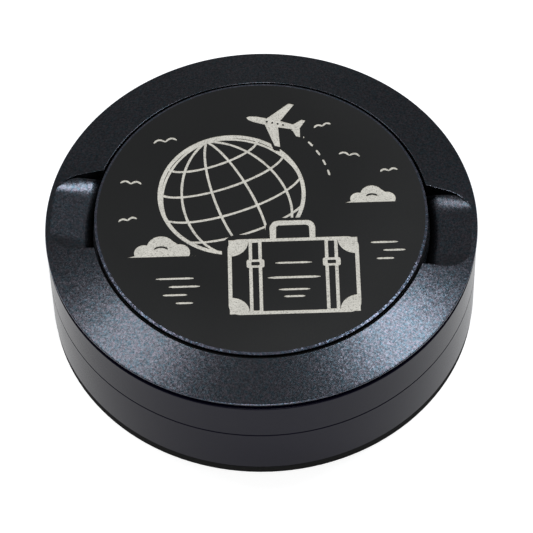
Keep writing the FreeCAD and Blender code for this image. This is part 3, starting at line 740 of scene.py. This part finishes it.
def draw_trail(art, x, y, radius, start, end, dashes):
    """A dashed curve that the aeroplane leaves behind it."""
    step = (end - start) / dashes
    for i in range(dashes):
        begin = start + step * i
        art.stroke(oval(x, y, radius, radius, 6, begin, begin + step * 0.55), STROKE * 0.62)


def draw_cloud(art, x, y, size):
    """A flat-bottomed cloud of three puffs, inked solid with one bare curl."""
    puffs = ((-1.6, 0.45, 0.85, 200, 70), (-0.1, 0.95, 1.25, 165, 35), (1.55, 0.4, 0.9, 100, -26))
    base = [(-3.0, 0.0)]
    for cx, cy, radius, start, end in puffs:
        base += oval(cx, cy, radius, radius, 9, start, end)
    base += [(3.1, 0.0)]
    art.fill(moved(base, x, y, 0, size))
    art.stroke(moved(oval(-0.1, 0.55, 0.7, 0.5, 8, 150, 30), x, y, 0, size), 0.2, 0.3, False)


def draw_bird(art, x, y, size, lean):
    """Two wing strokes that meet in a shallow V."""
    reach = (0, 0.2, 0.4, 0.6, 0.8, 1.0, 1.2)
    for side in (-1, 1):
        wing = [(side * t, 0.42 * math.sin(t * 2.3) - 0.1 * t) for t in reach]
        art.stroke(moved(wing, x, y, lean, size), STROKE * 0.62, 0.45)


def draw_waves(art, x, y, count, length):
    """Short level strokes, like ripples."""
    for i in range(count):
        shift = (i % 2) * 0.9 - 0.4
        half = length / 2 * (1 - 0.18 * i)
        row = y - i * 0.95
        art.stroke(straight(x + shift - half, row, x + shift + half, row), STROKE * 0.62, 0.35)


def travel_drawing():
    """A plain travel theme: a globe, a case, an aeroplane, clouds, birds and ripples."""
    art = Drawing()
    draw_globe(art, -2.8, 2.6, 7.2)
    draw_trail(art, -2.8, 2.6, 9.8, 62, 8, 7)
    draw_plane(art, 1.7, 11.1, 164, 1.0)
    draw_case(art, 3.0, -7.2, 12.6, 8.8)
    draw_cloud(art, -9.6, -4.6, 1.1)
    draw_cloud(art, 10.9, 1.2, 0.9)
    birds = (
        (-9.2, 9.2, 0.95, 8), (8.8, 6.9, 0.85, -10), (12.6, 4.9, 0.7, 6),
        (-12.6, 4.2, 0.85, -6), (-12.9, -0.2, 0.75, 10), (6.3, 10.6, 0.7, 14),
    )
    for x, y, size, lean in birds:
        draw_bird(art, x, y, size, lean)
    draw_waves(art, -8.0, -7.2, 4, 3.6)
    draw_waves(art, 12.2, -3.6, 3, 2.6)
    return art


# ---------------------------------------------------------------- face plate

PLATE_SEGMENTS = 384
PLATE_BEVEL_WIDTH = 0.25 * MM
PLATE_BEVEL_DROP = 0.08 * MM
PLATE_EASE = 0.03 * MM
ETCH_DEPTH = 0.03 * MM
# The drawing is turned so that it reads upright from the camera.
DRAWING_TURN = CAMERA_AZIMUTH
# Which of the plate's three materials a face takes.
PLAIN, INKED, BEVELLED = 0, 1, 2


def split_disc(art, radius, turn):
    """Split a disc by the drawing's outlines, and say which of the pieces are inked."""
    spin = Matrix.Rotation(turn, 2)
    rim = []
    for i in range(PLATE_SEGMENTS):
        angle = FULL * i / PLATE_SEGMENTS
        rim.append((radius * math.cos(angle), radius * math.sin(angle)))
    verts = []
    loops = []
    for points in [rim] + [[spin @ (p * MM) for p in shape] for shape, _ in art.shapes]:
        loops.append(list(range(len(verts), len(verts) + len(points))))
        verts += [Vector(p) for p in points]
    inked = [False] + [ink for _, ink in art.shapes]
    flat, _, faces, _, _, sources = delaunay_2d_cdt(verts, [], loops, 1, SAME_POINT)
    marks = [inked[max(source)] if source else False for source in sources]
    return flat, faces, marks


def etched_top(flat, faces, marks):
    """The plate's top face, its inked pieces sunk, with walls where ink meets bare plate."""
    top = PLATE_HIGH.z
    verts = [Vector((p.x, p.y, top)) for p in flat]
    sunk = {}

    def below(i):
        """The point under point i, on the floor of the etching."""
        if i not in sunk:
            sunk[i] = len(verts)
            verts.append(Vector((flat[i].x, flat[i].y, top - ETCH_DEPTH)))
        return sunk[i]

    made, kinds, inked_side = [], [], {}
    for face, inked in zip(faces, marks):
        made.append([below(i) for i in face] if inked else list(face))
        kinds.append(INKED if inked else PLAIN)
        for a, b in zip(face, face[1:] + face[:1]):
            inked_side[(a, b)] = inked
    for (a, b), inked in inked_side.items():
        if inked and not inked_side.get((b, a), False):
            made.append([a, b, below(b), below(a)])
            kinds.append(INKED)
    return verts, made, kinds


def add_plate_edge(rim, verts, made, kinds):
    """The plate's bevel, wall and underside, added all round from the rim of its top."""
    corner = PLATE_HIGH.z - PLATE_BEVEL_DROP
    profile = (
        (PLATE_RADIUS - PLATE_EASE, corner + PLATE_EASE * 0.4),
        (PLATE_RADIUS, corner - PLATE_EASE),
        (PLATE_RADIUS, PLATE_LOW.z + PLATE_EASE),
        (PLATE_RADIUS - PLATE_EASE, PLATE_LOW.z),
    )
    angles = [math.atan2(verts[i].y, verts[i].x) for i in rim]
    inner = rim
    for radius, z in profile:
        outer = []
        for angle in angles:
            outer.append(len(verts))
            verts.append(Vector((radius * math.cos(angle), radius * math.sin(angle), z)))
        for k in range(len(rim)):
            n = (k + 1) % len(rim)
            made.append([inner[k], outer[k], outer[n], inner[n]])
            kinds.append(BEVELLED)
        inner = outer
    made.append(inner[::-1])
    kinds.append(PLAIN)


def make_face_plate(plain, ink, bare):
    """The cover's face: a bevelled disc whose drawing is etched a little way in."""
    flat_radius = PLATE_RADIUS - PLATE_BEVEL_WIDTH
    flat, faces, marks = split_disc(travel_drawing(), flat_radius, DRAWING_TURN)
    verts, made, kinds = etched_top(flat, faces, marks)
    rim = [i for i, p in enumerate(flat) if p.length > flat_radius * 0.9999]
    rim.sort(key=lambda i: math.atan2(flat[i].y, flat[i].x))
    add_plate_edge(rim, verts, made, kinds)
    thing = add_object("etched_plate", verts, made, "cover", "plate_metal")
    for material in (plain, ink, bare):
        thing.data.materials.append(material)
    for face, kind in zip(thing.data.polygons, kinds):
        face.material_index = kind
    smooth_by_angle(thing, 12)
    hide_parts("face_plate")


# ---------------------------------------------------------------- finishes of the CAD pieces


def finish_nodes():
    """Give every CAD node its own finish and smooth, crisp-edged shading."""
    steel = ((0.5, 0.5, 0.5), (0.66, 0.66, 0.65))
    gold = ((0.72, 0.52, 0.2), (0.88, 0.68, 0.32))
    black = ((0.012, 0.012, 0.013), (0.02, 0.02, 0.021))
    grey = ((0.035, 0.036, 0.038), (0.05, 0.05, 0.052))
    finishes = {
        satin_shell(): ("upper_shell", "lower_shell"),
        rubber("foot_rubber", (0.006, 0.006, 0.006), (0.011, 0.011, 0.011), 0.04): ("foot_ring",),
        rubber("seal_rubber", (0.02, 0.02, 0.021), (0.04, 0.04, 0.041)): ("shell_seal", "cover_seal"),
        rubber("pad_foam", (0.06, 0.06, 0.065), (0.11, 0.11, 0.115)): ("cell_press_pad",),
        moulded("cover_moulding", *black): ("cover_cap",),
        moulded("inner_moulding", *grey): ("thread_collar", "battery_tray"),
        moulded("chip_compound", (0.014, 0.014, 0.014), (0.024, 0.024, 0.024), 0.6): (
            "bluetooth_chip", "memory_chip", "motion_sensor", "switch_housing"),
        moulded("switch_cream", (0.55, 0.53, 0.46), (0.68, 0.66, 0.6), 0.45): ("switch_plunger",),
        moulded("ferrite", (0.07, 0.07, 0.075), (0.12, 0.12, 0.125), 0.65): ("power_inductor",),
        moulded("white_ceramic", (0.6, 0.62, 0.58), (0.75, 0.76, 0.72), 0.4): ("chip_antenna",),
        moulded("tan_ceramic", (0.3, 0.22, 0.14), (0.42, 0.32, 0.22), 0.45): ("chip_passives",),
        moulded("cell_ring", (0.06, 0.06, 0.065), (0.09, 0.09, 0.095)): ("cell_gasket",),
        moulded("cell_mass", (0.03, 0.03, 0.03), (0.05, 0.05, 0.05), 0.8): ("cell_core",),
        moulded("glue", (0.05, 0.045, 0.04), (0.09, 0.085, 0.08), 0.3): (
            "piezo_gasket", "plate_adhesive"),
        moulded("bender_silver", (0.6, 0.6, 0.57), (0.74, 0.74, 0.7), 0.35): ("piezo_ceramic",),
        metal("cell_nickel", *steel, 0.26, (1, 14, 1)): ("cell_can", "cell_cap"),
        metal("screw_steel", *steel, 0.32): ("case_screws",),
        metal("crystal_lid", (0.66, 0.66, 0.62), (0.8, 0.8, 0.76), 0.2, (12, 1, 1)): (
            "main_crystal", "clock_crystal"),
        metal("spring_gold", *gold, 0.27, (10, 1, 1)): (
            "negative_contact", "positive_contacts", "buzzer_pins"),
        metal("bender_brass", (0.62, 0.44, 0.18), (0.78, 0.58, 0.28), 0.33, (1, 9, 1)): ("piezo_disc",),
        solder_mask(): ("circuit_board",),
    }
    for material, nodes in finishes.items():
        for node in nodes:
            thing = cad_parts[node]
            for place in thing.material_slots:
                place.material = material
            smooth_by_angle(thing)


# ---------------------------------------------------------------- studio

WORLD_LIGHT = 0.3
FLOOR_GLOW = 0.6
FLOOR_HALF = 3.0
# Each soft box: where it stands, to the right, away and up as the camera sees it, then its spread
# in degrees, its strength and its colour.
SOFT_BOXES = {
    "front_box": ((0.0, -0.55, 0.835), 22, 0.8, (1.0, 1.0, 1.0)),
    "left_box": ((-0.30, 0.27, 0.913), 15, 0.37, (0.94, 0.97, 1.0)),
    "right_box": ((0.295, 0.28, 0.913), 14, 0.64, (0.87, 0.94, 1.0)),
}


def pale_floor():
    """White studio table that glows a little, seen through from below."""
    paint = Paint("studio_floor", Metallic=0.0)
    tooth = paint.noise(4 * MM, 2.0)
    paint.colour(paint.ramp(tooth, (0.3, (0.93, 0.93, 0.93)), (0.7, (0.95, 0.95, 0.95))))
    paint.roughness(tooth, 0.85, 0.9)
    paint.shader.inputs["Emission Color"].default_value = (1.0, 1.0, 1.0, 1)
    paint.shader.inputs["Emission Strength"].default_value = FLOOR_GLOW
    paint.clear_from_behind()
    return paint.material


def facing(right, away, up):
    """A direction as the camera's side of the object sees it, turned into the part's frame."""
    return Matrix.Rotation(CAMERA_AZIMUTH, 3, "Z") @ Vector((right, away, up)).normalized()


def add_soft_light(name, direction, spread, strength, colour):
    """A far, broad soft box that lights everything evenly from one direction."""
    lamp = bpy.data.lights.new(name, "SUN")
    lamp.angle = math.radians(spread)
    lamp.energy = strength
    lamp.color = colour
    thing = bpy.data.objects.new(name, lamp)
    thing.location = direction
    thing.rotation_euler = direction.to_track_quat("Z", "Y").to_euler()
    bpy.context.scene.collection.objects.link(thing)


def add_floor():
    """A square sheet at z = 0."""
    half = FLOOR_HALF
    corners = [(-half, -half, 0), (half, -half, 0), (half, half, 0), (-half, half, 0)]
    mesh = bpy.data.meshes.new("floor")
    mesh.from_pydata(corners, [], [(0, 1, 2, 3)])
    floor = bpy.data.objects.new("floor", mesh)
    floor.data.materials.append(pale_floor())
    bpy.context.scene.collection.objects.link(floor)


def add_studio():
    """Pale floor, pale world and soft boxes over the object."""
    bpy.context.scene.view_settings.view_transform = "Standard"
    add_floor()

    world = bpy.data.worlds.new("studio")
    world.use_nodes = True
    back = world.node_tree.nodes["Background"]
    back.inputs["Color"].default_value = (1.0, 1.0, 1.0, 1)
    back.inputs["Strength"].default_value = WORLD_LIGHT
    bpy.context.scene.world = world

    for name, (direction, spread, strength, colour) in SOFT_BOXES.items():
        add_soft_light(name, facing(*direction), spread, strength, colour)


def add_camera():
    """The camera at the viewing angle, with its roll."""
    data = bpy.data.cameras.new("camera")
    data.lens = CAMERA_LENS
    data.sensor_width = 36.0
    data.clip_start = 0.01
    data.clip_end = 20.0
    camera = bpy.data.objects.new("camera", data)
    level = math.cos(CAMERA_ELEVATION)
    back = Vector((
        math.sin(CAMERA_AZIMUTH) * level,
        -math.cos(CAMERA_AZIMUTH) * level,
        math.sin(CAMERA_ELEVATION),
    ))
    right = Vector((math.cos(CAMERA_AZIMUTH), math.sin(CAMERA_AZIMUTH), 0))
    up = back.cross(right)
    turned_right = math.cos(CAMERA_ROLL) * right + math.sin(CAMERA_ROLL) * up
    turned_up = -math.sin(CAMERA_ROLL) * right + math.cos(CAMERA_ROLL) * up
    turn = Matrix((turned_right, turned_up, back)).transposed()
    camera.matrix_world = Matrix.Translation(CAMERA_TARGET + back * CAMERA_DISTANCE) @ turn.to_4x4()
    bpy.context.scene.collection.objects.link(camera)
    bpy.context.scene.camera = camera


# ---------------------------------------------------------------- build

bezel_finish = anodised("ring_anodised", (0.035, 0.037, 0.043), (0.075, 0.08, 0.092), 0.225, 0.042)
# The paler bevel finish is the plate's anodised chamfer; on the ring's brim it also paints in a
# highlight.
bevel_finish = anodised("bevel_anodised", (0.055, 0.062, 0.085), (0.15, 0.16, 0.2), 0.26, 0.14)
make_bezel(bezel_finish, bevel_finish)
make_face_plate(matte_plate(), etched_ink(), bevel_finish)
finish_nodes()
add_studio()
add_camera()
